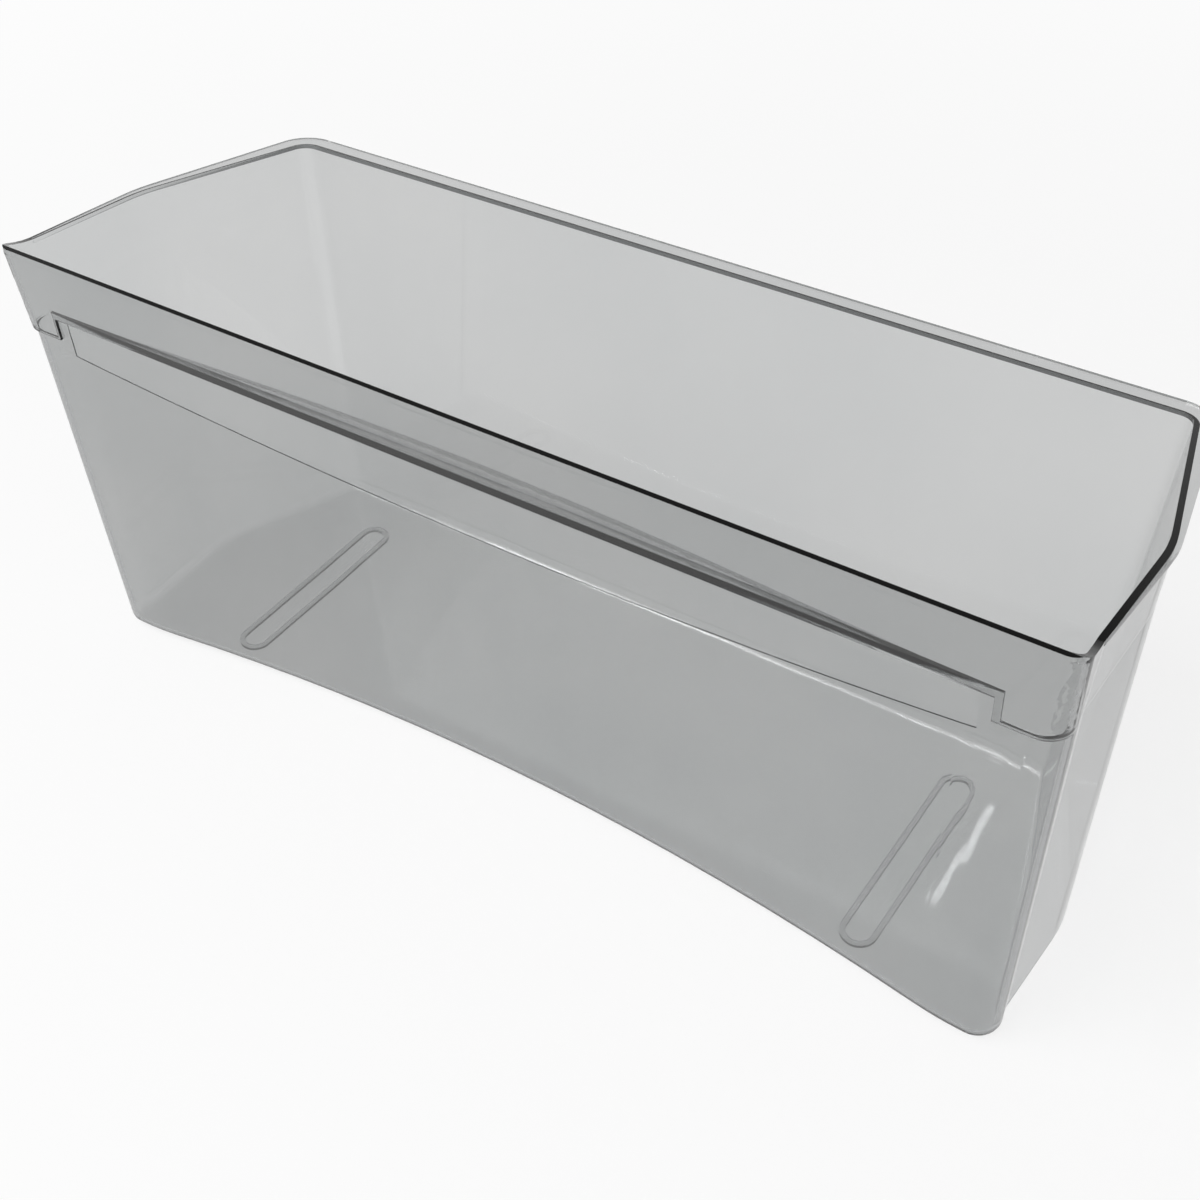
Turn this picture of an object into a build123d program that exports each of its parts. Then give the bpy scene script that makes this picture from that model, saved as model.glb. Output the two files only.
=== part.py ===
"""A clear fridge crisper drawer, moulded in one piece.

The front faces -Y and the width lies along X. The drawer stands on its two glide ribs at Z = 0,
and the origin is under the middle of its bounding box. All sizes are in millimetres.
"""
from build123d import *
from math import cos, radians, sin
import os

# Rim: outside of the walls at the top edge, which falls from front to back
width = 484.0
rim_depth = 168.0
rim_height = 208.3
rim_fall = 17.7

# Each side runs from its front corner to a bend and on to the back corner, further in from the full width
bend_inset = 3.5
back_inset = 22.0
bend_depth = 79.5

# Draft: how far in from the top each straight wall stands at the floor
front_draft = 2.2
front_corner_draft = 6.25
bend_draft = 4.5
bend_back_draft = 2.0
back_corner_draft = 18.0
back_draft = 20.5

# Flare: how far each edge between the walls leans out at the rim, and the share of it under the band's ears
front_corner_flare = -1.0
neck_flare = 3.2
bend_flare = 2.6
ear_flare_share = 0.5

# Wall section and roundings
wall = 2.5
bottom_radius = 5.5
foot_height = 7.0
bend_radius = 70.0
back_corner_radius = 9.5
front_corner_radius = 7.0
ear_corner_radius = 10.0

# Neck: the side walls start a little inside the front corners
neck_depth = 5.0
neck_run = 18.0
neck_radius = 12.0

# Straight band across the front, with the finger pull under its middle
band_rise = 2.6
band_rise_run = 14.0
ear_drop = 35.8
ledge_drop = 25.3
ear_width = 27.5
band_step = 0.8
pull_depth = 18.0
ease_radius = 150.0
lower_corner_run = 14.0

# The wall behind the fingers turns forward to the ledge: how far it has turned at each of its sections
scoop_turns = [0, 45, 80]

# Shallow step that the mould's slide leaves on the wall under the pull
slide_step = 0.4
slide_inset = 5.0
slide_drop_end = 18.0
slide_drop_middle = 45.0

# Flange turned out along the sides and back of the rim, widening towards the back
flange_bend_width = 1.4
flange_width = 6.5
flange_thickness = 2.5

# Long oval glide ribs under the floor
glide_inset = 76.5
glide_length = 106.0
glide_width = 16.0
glide_line = 2.4
glide_height = 1.6
glide_setback = 19.2

# Cutting solids run this far past the faces that they open
overrun = 6.0

front_y = -(rim_depth + flange_width) / 2
rim_slope = rim_fall / rim_depth
ledge_width = width - 2 * ear_width
ledge_height = rim_height - ledge_drop
shoulder_height = rim_height - ear_drop


def rim_height_at(y):
    return rim_height - rim_slope * (y - front_y)


def wall_edge(side_inset, side_draft, depth, depth_draft):
    """Floor end and rim end of a straight edge between two walls on the right-hand side."""
    rim_x = width / 2 - side_inset
    rim_y = front_y + depth
    low = Vector(rim_x - side_draft, rim_y + depth_draft, glide_height)
    return low, Vector(rim_x, rim_y, rim_height_at(rim_y))


# The right-hand side's edges, in order from the front
wall_edges = [
    wall_edge(0, front_corner_draft, 0, front_draft),
    wall_edge(neck_depth, front_corner_draft, neck_run, front_draft),
    wall_edge(bend_inset, bend_draft, bend_depth, -bend_back_draft),
    wall_edge(back_inset, back_corner_draft, rim_depth, -back_draft),
]
no_flares = [0, 0, 0, 0]
rim_flares = [front_corner_flare, neck_flare, bend_flare, 0]
ear_flares = [flare * ear_flare_share for flare in rim_flares]


def level_plane(height):
    return Plane((0, 0, height))


def rim_plane():
    """The plane of the sloping rim."""
    return Plane((0, 0, rim_height_at(0)), x_dir=(1, 0, 0), z_dir=(0, rim_slope, 1))


def mirrored(point):
    return Vector(-point.X, point.Y)


def moved_in(before, corner, after, gap):
    """The corner of a plan, taken anticlockwise, after both of its sides move in by gap."""
    into_corner = (corner - before).normalized()
    out_of_corner = (after - corner).normalized()
    first = Vector(-into_corner.Y, into_corner.X)
    second = Vector(-out_of_corner.Y, out_of_corner.X)
    return corner + (first + second) * (gap / (1 + first.dot(second)))


def plan_corners(plane, inset, flares=no_flares):
    """Front corner, neck, bend and back corner of the right side where the walls cross a plane."""
    sharp = []
    for (low, high), flare in zip(wall_edges, flares):
        along = high - low
        share = (plane.origin - low).dot(plane.z_dir) / along.dot(plane.z_dir)
        spot = plane.to_local_coords(low + along * share)
        sharp.append(Vector(spot.X + flare, spot.Y))
    ring = [mirrored(sharp[0])] + sharp + [mirrored(sharp[-1])]
    return [moved_in(*ring[i : i + 3], inset) for i in range(len(sharp))]


def side_radii(inset):
    return [neck_radius + inset, bend_radius - inset, back_corner_radius - inset]


def band_plan(plane, inset, corner_radius, flares=no_flares):
    """The plan at the height of the band, with a straight front."""
    right = plan_corners(plane, inset, flares)
    left = [mirrored(point) for point in reversed(right)]
    right_radii = [corner_radius - inset] + side_radii(inset)
    radii = right_radii + right_radii[::-1]
    return plane * make_face(FilletPolyline(*right, *left, radius=radii, close=True))


def bow_end(plane, inset):
    """Right-hand end of the bowed front under the band."""
    front_x = plan_corners(plane, 0)[0].X
    front_y_inset = plan_corners(plane, inset)[0].Y
    return Vector(front_x - lower_corner_run, front_y_inset + band_step)


def bow(plane, inset, share=1.0):
    """The front under the band, bowed in by a share of its full depth and eased out straight at its ends."""
    end = bow_end(plane, inset)
    depth = (pull_depth - band_step) * share
    both_radii = (end.X**2 + depth**2) / (2 * depth)
    ease = ease_radius - inset
    ease_centre = Vector(end.X, end.Y + ease)
    bow_centre = Vector(0, end.Y + depth + ease - both_radii)
    meet = ease_centre + (bow_centre - ease_centre) * (ease / both_radii)
    return [
        TangentArc(mirrored(end), mirrored(meet), tangent=(1, 0)),
        ThreePointArc(mirrored(meet), (0, end.Y + depth), meet),
        TangentArc(end, meet, tangent=(-1, 0)),
    ]


def lower_plan(plane, inset, flares=no_flares):
    """The plan under the band: the bowed front runs into round corners, then into the necks."""
    front, neck, bend, back = plan_corners(plane, inset, flares)
    start = bow_end(plane, inset)
    along_front = Vector(1, 0)
    along_neck = (neck - front).normalized()
    run = (front - start).cross(along_neck).Z / along_front.cross(along_neck).Z
    end = start + (along_front + along_neck) * run
    right = [end, neck, bend, back]
    left = [mirrored(point) for point in reversed(right)]
    radii = side_radii(inset)
    lines = bow(plane, inset) + [
        TangentArc(start, end, tangent=along_front),
        FilletPolyline(*right, *left, radius=radii + radii[::-1]),
        TangentArc(mirrored(start), mirrored(end), tangent=-along_front),
    ]
    return plane * make_face(lines)


def bow_space_plan(plane, inset, share=1.0):
    """The space in front of the bowed front, on a plane."""
    end = bow_end(plane, inset)
    ahead = Vector(end.X, end.Y - band_step - inset - overrun)
    around = Polyline(end, ahead, mirrored(ahead), mirrored(end))
    return plane * make_face(bow(plane, inset, share) + [around])


def scoop(inset):
    """The finger space between the ears, whose wall curves from the bowed front up to the ledge."""
    rise = (ledge_height + inset - shoulder_height) / sin(radians(scoop_turns[-1]))
    sections = []
    for turn in scoop_turns:
        plane = level_plane(shoulder_height + rise * sin(radians(turn)))
        sections.append(bow_space_plan(plane, inset, cos(radians(turn))))
    return loft(sections)


def tub(inset, bottom_height, lift):
    """The tub as a solid, from its round-edged bottom up to the rim plane raised by lift."""
    shoulder = level_plane(shoulder_height)
    foot_top = glide_height + foot_height
    foot_plan = lower_plan(level_plane(foot_top), inset)
    foot = extrude(foot_plan, amount=bottom_height - foot_top)
    foot = fillet(foot.faces().sort_by(Axis.Z)[0].edges(), bottom_radius - inset)
    lower = loft([foot_plan, lower_plan(shoulder, inset, ear_flares)], ruled=True)
    ears = band_plan(shoulder, inset, ear_corner_radius, ear_flares)
    rim = band_plan(rim_plane(), inset, front_corner_radius, rim_flares)
    band = loft([ears, rim], ruled=True) + extrude(rim, amount=lift)
    pull_zone = Box(ledge_width + 2 * inset, 4 * rim_depth, 4 * rim_height)
    return foot + lower + (band - (scoop(inset) & pull_zone))


def slide_mark():
    """A layer of the lower wall under the pull, down to an arc, where the mould's slide sat."""
    half = ledge_width / 2 - slide_inset
    low_end = ledge_height - slide_drop_end
    low_middle = ledge_height - slide_drop_middle
    outline = [
        ThreePointArc((-half, low_end), (0, low_middle), (half, low_end)),
        Polyline((half, low_end), (half, ledge_height), (-half, ledge_height), (-half, low_end)),
    ]
    zone = extrude(Plane.XZ * make_face(outline), amount=rim_depth, both=True)
    low_plane = level_plane(low_middle - overrun)
    shoulder = level_plane(shoulder_height)
    space = loft([bow_space_plan(low_plane, 0), bow_space_plan(shoulder, 0)], ruled=True) + scoop(0)
    return (Pos(0, slide_step, 0) * space) & zone


def above_rim():
    """Everything over the top edge, which sweeps up from the sides to the front band."""
    far_y = -front_y + overrun
    near_y = front_y - overrun
    top = rim_height + band_rise
    crest_y = front_y + wall
    foot_y = crest_y + band_rise_run
    sky = top + 4 * overrun
    crest = (crest_y, top)
    foot = (foot_y, rim_height_at(foot_y))
    sweep = TangentArc(foot, crest, tangent=(-1, rim_slope))
    rest = Polyline(crest, (near_y, top), (near_y, sky), (far_y, sky), (far_y, rim_height_at(far_y)), foot)
    return extrude(Plane.YZ * make_face([sweep, rest]), amount=width, both=True)


def flange():
    """The flat lip along the sides and back, growing from nothing behind the front corners."""
    plane = rim_plane()
    front, neck, bend, back = plan_corners(plane, 0, rim_flares)
    lip_bend = moved_in(neck, bend, back, -flange_bend_width)
    lip_back = moved_in(bend, back, mirrored(back), -flange_width)
    points = [neck, lip_bend, lip_back, mirrored(lip_back), mirrored(lip_bend), mirrored(neck)]
    lip_radius = back_corner_radius + flange_width
    edge = FilletPolyline(*points, radius=[bend_radius, lip_radius, lip_radius, bend_radius])
    plan = plane * make_face([edge, Line(mirrored(neck), neck)])
    return extrude(plan, amount=-flange_thickness)


def glide_ribs():
    """Two closed oval ribs, front to back, that the drawer slides on."""
    outer = SlotOverall(glide_length, glide_width)
    inner = SlotOverall(glide_length - 2 * glide_line, glide_width - 2 * glide_line)
    middle_y = front_y + band_step + glide_setback + glide_length / 2
    ring = Rot(0, 0, 90) * (outer - inner)
    side_x = width / 2 - glide_inset
    spots = [Pos(x, middle_y) for x in (-side_x, side_x)]
    return [extrude(spot * ring, amount=glide_height) for spot in spots]


outside = tub(0, glide_height, band_rise + overrun) - slide_mark() - above_rim()
cavity = tub(wall, glide_height + wall, band_rise + 2 * overrun)

drawer = outside + flange() - cavity
for rib in glide_ribs():
    drawer = drawer + rib

os.makedirs("parts", exist_ok=True)
export_step(drawer, "parts/crisper_drawer.step")
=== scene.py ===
from math import pi, radians, tan

import bpy
from mathutils import Matrix

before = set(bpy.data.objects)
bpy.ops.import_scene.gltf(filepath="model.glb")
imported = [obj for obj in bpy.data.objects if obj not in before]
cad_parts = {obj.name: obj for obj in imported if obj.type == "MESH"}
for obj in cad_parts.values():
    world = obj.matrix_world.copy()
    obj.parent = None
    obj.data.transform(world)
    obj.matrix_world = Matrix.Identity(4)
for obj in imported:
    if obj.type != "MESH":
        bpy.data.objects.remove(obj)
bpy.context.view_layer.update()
scene = bpy.context.scene

# The drawer: one clear polystyrene injection moulding with polished walls 2.5 mm thick. The plastic is
# faintly grey, so a wall seen flat is light grey and one seen along its edge, as at the rim, is nearly
# black. Moulding has left faint waves in it, and use has left haze, cloudy patches and fine rub marks.
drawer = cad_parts["crisper_drawer"]

plastic_ior = 1.59
plastic_clearness = 1.0
grey_tint = (0.495, 0.505, 0.509, 1.0)
grey_tint_density = 305.0

haze_scale = 5.0
haze_detail = 4.0
haze_start = 0.36
haze_full = 0.68
clean_colour = (0.995, 0.995, 0.99, 1.0)
hazy_colour = (0.925, 0.935, 0.935, 1.0)

cloud_scale = 14.0
cloud_detail = 6.0
cloud_start = 0.4
cloud_full = 0.7
polished_roughness = 0.008
cloudy_roughness = 0.035

rub_turn = (0.0, 0.0, radians(12.0))
rub_stretch = (1.0, 14.0, 1.0)
rub_scale = 45.0
rub_detail = 3.0
rub_start = 0.6
rub_full = 0.75
rub_roughness = 0.045

wave_scale = 22.0
wave_detail = 1.0
wave_strength = 1.0
wave_height = 0.00002


def blank_material(name):
    """A new material with no nodes in it yet."""
    material = bpy.data.materials.new(name)
    material.use_nodes = True
    material.node_tree.nodes.clear()
    return material


def patchiness(tree, place, scale, detail):
    """A soft random pattern over the plastic, between 0 and 1."""
    pattern = tree.nodes.new("ShaderNodeTexNoise")
    pattern.inputs["Scale"].default_value = scale
    pattern.inputs["Detail"].default_value = detail
    tree.links.new(place, pattern.inputs["Vector"])
    return pattern.outputs["Fac"]


def graded(tree, amount, start, full, least, most):
    """Least up to where the amount is start, most from where it is full, and an even slope between."""
    grade = tree.nodes.new("ShaderNodeMapRange")
    grade.inputs["From Min"].default_value = start
    grade.inputs["From Max"].default_value = full
    grade.inputs["To Min"].default_value = least
    grade.inputs["To Max"].default_value = most
    tree.links.new(amount, grade.inputs["Value"])
    return grade.outputs["Result"]


def blended(tree, amount, start, start_colour, full, full_colour):
    """One colour up to where the amount is start, the other from where it is full, and a blend between."""
    blend = tree.nodes.new("ShaderNodeValToRGB")
    first, last = blend.color_ramp.elements
    first.position = start
    first.color = start_colour
    last.position = full
    last.color = full_colour
    tree.links.new(amount, blend.inputs["Fac"])
    return blend.outputs["Color"]


def combined(tree, operation, first, second):
    """Two amounts made one by a sum, by a product or by taking the larger."""
    pair = tree.nodes.new("ShaderNodeMath")
    pair.operation = operation
    tree.links.new(first, pair.inputs[0])
    tree.links.new(second, pair.inputs[1])
    return pair.outputs["Value"]


clear_plastic = blank_material("clear_polystyrene")
tree = clear_plastic.node_tree
place = tree.nodes.new("ShaderNodeTexCoord").outputs["Object"]

haze = patchiness(tree, place, haze_scale, haze_detail)
haze_colour = blended(tree, haze, haze_start, clean_colour, haze_full, hazy_colour)

clouds = patchiness(tree, place, cloud_scale, cloud_detail)
cloudiness = graded(tree, clouds, cloud_start, cloud_full, polished_roughness, cloudy_roughness)

rub_direction = tree.nodes.new("ShaderNodeMapping")
rub_direction.inputs["Rotation"].default_value = rub_turn
rub_direction.inputs["Scale"].default_value = rub_stretch
tree.links.new(place, rub_direction.inputs["Vector"])
rubbing = patchiness(tree, rub_direction.outputs["Vector"], rub_scale, rub_detail)
rub_marks = graded(tree, rubbing, rub_start, rub_full, 0.0, rub_roughness)
worn_roughness = combined(tree, "ADD", cloudiness, rub_marks)

waves = patchiness(tree, place, wave_scale, wave_detail)
moulded_waves = tree.nodes.new("ShaderNodeBump")
moulded_waves.inputs["Strength"].default_value = wave_strength
moulded_waves.inputs["Distance"].default_value = wave_height
tree.links.new(waves, moulded_waves.inputs["Height"])

surface = tree.nodes.new("ShaderNodeBsdfPrincipled")
surface.inputs["IOR"].default_value = plastic_ior
surface.inputs["Transmission Weight"].default_value = plastic_clearness
tree.links.new(haze_colour, surface.inputs["Base Color"])
tree.links.new(worn_roughness, surface.inputs["Roughness"])
tree.links.new(moulded_waves.outputs["Normal"], surface.inputs["Normal"])

depth_tint = tree.nodes.new("ShaderNodeVolumeAbsorption")
depth_tint.inputs["Color"].default_value = grey_tint
depth_tint.inputs["Density"].default_value = grey_tint_density

output = tree.nodes.new("ShaderNodeOutputMaterial")
tree.links.new(surface.outputs["BSDF"], output.inputs["Surface"])
tree.links.new(depth_tint.outputs["Volume"], output.inputs["Volume"])

drawer.data.materials.clear()
drawer.data.materials.append(clear_plastic)

# The floor: a plain pale sheet, laid just under the glide ribs. It shows white, also through the plastic
# and in its gloss, keeps a soft share of the drawer's shadow, and fades into the backdrop.
floor_size = 8.0
floor_gap = 0.0005
floor_paint = (0.9, 0.9, 0.9, 1.0)
white_strength = 1.0
near_reach = 0.35
far_reach = 1.3
near_white_share = 0.82
far_white_share = 1.0

bpy.ops.mesh.primitive_plane_add(size=floor_size, location=(0, 0, -floor_gap))
floor = bpy.context.object
floor.name = "floor"

pale_floor = blank_material("pale_floor")
tree = pale_floor.node_tree
paint = tree.nodes.new("ShaderNodeBsdfDiffuse")
paint.inputs["Color"].default_value = floor_paint
white = tree.nodes.new("ShaderNodeEmission")
white.inputs["Strength"].default_value = white_strength

ray = tree.nodes.new("ShaderNodeLightPath").outputs
seen_or_through = combined(tree, "MAXIMUM", ray["Is Camera Ray"], ray["Is Transmission Ray"])
in_sight = combined(tree, "MAXIMUM", seen_or_through, ray["Is Glossy Ray"])

place = tree.nodes.new("ShaderNodeTexCoord").outputs["Object"]
reach = tree.nodes.new("ShaderNodeVectorMath")
reach.operation = "LENGTH"
tree.links.new(place, reach.inputs[0])
distance = reach.outputs["Value"]
white_share = graded(tree, distance, near_reach, far_reach, near_white_share, far_white_share)

shown_white = combined(tree, "MULTIPLY", in_sight, white_share)

mix = tree.nodes.new("ShaderNodeMixShader")
tree.links.new(shown_white, mix.inputs["Fac"])
tree.links.new(paint.outputs["BSDF"], mix.inputs[1])
tree.links.new(white.outputs["Emission"], mix.inputs[2])
output = tree.nodes.new("ShaderNodeOutputMaterial")
tree.links.new(mix.outputs["Shader"], output.inputs["Surface"])

floor.data.materials.append(pale_floor)

# The room: a white backdrop all round that turns to a grey ceiling overhead, both as plain colours
# of the world. The clear edges of the rim show the ceiling, which keeps them dark.
backdrop_white = (1.0, 1.0, 1.0, 1.0)
backdrop_top = 0.25
ceiling_grey = (0.16, 0.16, 0.16, 1.0)
ceiling_edge = 0.5

room = bpy.data.worlds.new("studio")
room.use_nodes = True
tree = room.node_tree
tree.nodes.clear()
direction = tree.nodes.new("ShaderNodeTexCoord").outputs["Generated"]
upward = tree.nodes.new("ShaderNodeSeparateXYZ")
tree.links.new(direction, upward.inputs["Vector"])
room_colour = blended(tree, upward.outputs["Z"], backdrop_top, backdrop_white, ceiling_edge, ceiling_grey)
glow = tree.nodes.new("ShaderNodeBackground")
tree.links.new(room_colour, glow.inputs["Color"])
output = tree.nodes.new("ShaderNodeOutputWorld")
tree.links.new(glow.outputs["Background"], output.inputs["Surface"])
scene.world = room

# The soft box: one large lamp with a plain soft light, hung above the front of the drawer
# and leaning back towards it.
soft_box_place = (-0.4, -0.9, 1.5)
soft_box_turn = (radians(31.0), 0.0, 0.0)
soft_box_size = (1.8, 1.1)
soft_box_brightness = 4.2


def hang_lamp(name, place, turn, size, brightness):
    """A flat lamp that faces down until it is turned, as bright as a white card times brightness."""
    lamp = bpy.data.lights.new(name, "AREA")
    lamp.shape = "RECTANGLE"
    lamp.size, lamp.size_y = size
    lamp.energy = brightness * pi * lamp.size * lamp.size_y
    holder = bpy.data.objects.new(name, lamp)
    holder.location = place
    holder.rotation_euler = turn
    holder.visible_camera = False
    scene.collection.objects.link(holder)
    return holder


hang_lamp("soft_box", soft_box_place, soft_box_turn, soft_box_size, soft_box_brightness)

# The strips: two lamps overhead with narrow beams, seen only in the plastic, as cards are that draw the
# edges of clear things. The round edge at the back of the drawer's floor mirrors them as a bright line.
near_strip_place = (-0.06, 0.06, 1.4)
near_strip_turn = (0.0, radians(-12.0), 0.0)
near_strip_size = (0.4, 0.8)
near_strip_brightness = 28.0
near_strip_beam = radians(15.0)

far_strip_place = (-0.75, 0.06, 1.4)
far_strip_turn = (0.0, radians(-29.0), 0.0)
far_strip_size = (1.04, 0.8)
far_strip_brightness = 22.0
far_strip_beam = radians(36.0)


def narrow_beam(holder, beam):
    """Hides a lamp from outside its beam and from matt surfaces, as bright along its axis as before."""
    half = beam / 2
    holder.data.spread = beam
    holder.data.energy *= 1 - half / tan(half)
    holder.visible_diffuse = False


near_strip = hang_lamp(
    "near_strip", near_strip_place, near_strip_turn, near_strip_size, near_strip_brightness
)
narrow_beam(near_strip, near_strip_beam)
far_strip = hang_lamp(
    "far_strip", far_strip_place, far_strip_turn, far_strip_size, far_strip_brightness
)
narrow_beam(far_strip, far_strip_beam)

# The tube: one thin lamp hung behind the drawer, also seen only in the plastic. The drawer's floor
# mirrors it as a short streak of light beside the right-hand glide rib.
tube_place = (-0.037, 0.647, 0.8)
tube_turn = (0.0, 0.0, 0.0)
tube_size = (0.009, 0.147)
tube_brightness = 11.0

tube = hang_lamp("tube", tube_place, tube_turn, tube_size, tube_brightness)
tube.visible_diffuse = False

# The camera: held high, out in front of the drawer's right front corner, looking down across the drawer
# to the left, and rolled a little clockwise.
camera_place = (0.3385, -0.46005, 0.5651)
camera_turn = radians(36.17)
camera_tilt = radians(90.0 - 41.30)
camera_roll = radians(-3.06)
camera_sensor = 36.0
camera_lens = 51.22
camera_shift = (-0.003, -0.0078)

camera = bpy.data.cameras.new("camera")
camera.sensor_width = camera_sensor
camera.lens = camera_lens
camera.shift_x, camera.shift_y = camera_shift
camera_holder = bpy.data.objects.new("camera", camera)
scene.collection.objects.link(camera_holder)
turned = Matrix.Rotation(camera_turn, 4, "Z")
tilted = Matrix.Rotation(camera_tilt, 4, "X")
rolled = Matrix.Rotation(camera_roll, 4, "Z")
camera_holder.matrix_world = Matrix.Translation(camera_place) @ turned @ tilted @ rolled
scene.camera = camera_holder

scene.view_settings.view_transform = "Standard"
